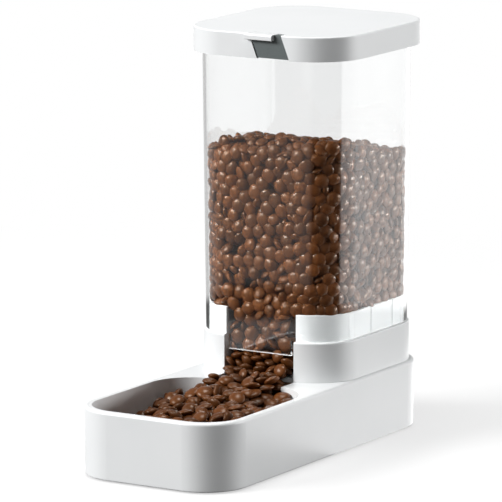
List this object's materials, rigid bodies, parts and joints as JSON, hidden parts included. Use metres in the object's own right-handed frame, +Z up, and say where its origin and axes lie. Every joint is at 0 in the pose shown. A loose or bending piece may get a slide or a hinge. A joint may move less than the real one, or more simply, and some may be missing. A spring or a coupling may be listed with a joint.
{
  "type": "gravity pet feeder",
  "caption": "Gravity pet feeder: a low white base with a bowl, a clear tapered hopper of dry food on a collar, and a hinged lid with a catch.",
  "frame": {"origin": "under the middle of the whole feeder, at floor level", "axes": "+Z up, the bowl faces -Y, the hopper stands at +Y, X across the width"},
  "size_m": [0.134, 0.2982, 0.3],
  "materials": {
    "white_plastic": "satin injection-moulded white",
    "clear_plastic": "clear moulded plastic, polished",
    "catch_grey": "dark grey, satin",
    "steel": "plain bright steel",
    "rubber": "matte rubber",
    "gasket": "soft translucent grey silicone",
    "food": "glossy brown coated dry food"
  },
  "bodies": {
    "base": {"base_shell": "white_plastic", "top_tray": "white_plastic", "hopper_socket": "white_plastic", "feed_ramp": "white_plastic", "socket_screws": "steel", "foot_front_left": "rubber", "foot_front_right": "rubber", "foot_rear_left": "rubber", "foot_rear_right": "rubber", "kibble_feed": "food", "kibble_bowl": "food"},
    "hopper": {"tank": "clear_plastic", "tank_rim": "white_plastic", "hinge_pin": "steel", "kibble_hopper": "food"},
    "lid": {"lid_shell": "white_plastic", "lid_liner": "white_plastic", "lid_gasket": "gasket", "catch_pin": "steel"},
    "catch": {"lid_catch": "catch_grey", "catch_tab": "white_plastic"}
  },
  "joints": [
    {"name": "hopper_lift", "type": "slide", "parent": "base", "child": "hopper", "axis": [0, 0, 1], "range_m": [0, 0.06]},
    {"name": "lid_hinge", "type": "hinge", "parent": "hopper", "child": "lid", "pos_m": [0, 0.1459, 0.2835], "axis": [-1, 0, 0], "range_deg": [0, 110]},
    {"name": "catch_hinge", "type": "hinge", "parent": "lid", "child": "catch", "pos_m": [0, 0.0027, 0.2964], "axis": [-1, 0, 0], "range_deg": [0, 18]}
  ]
}
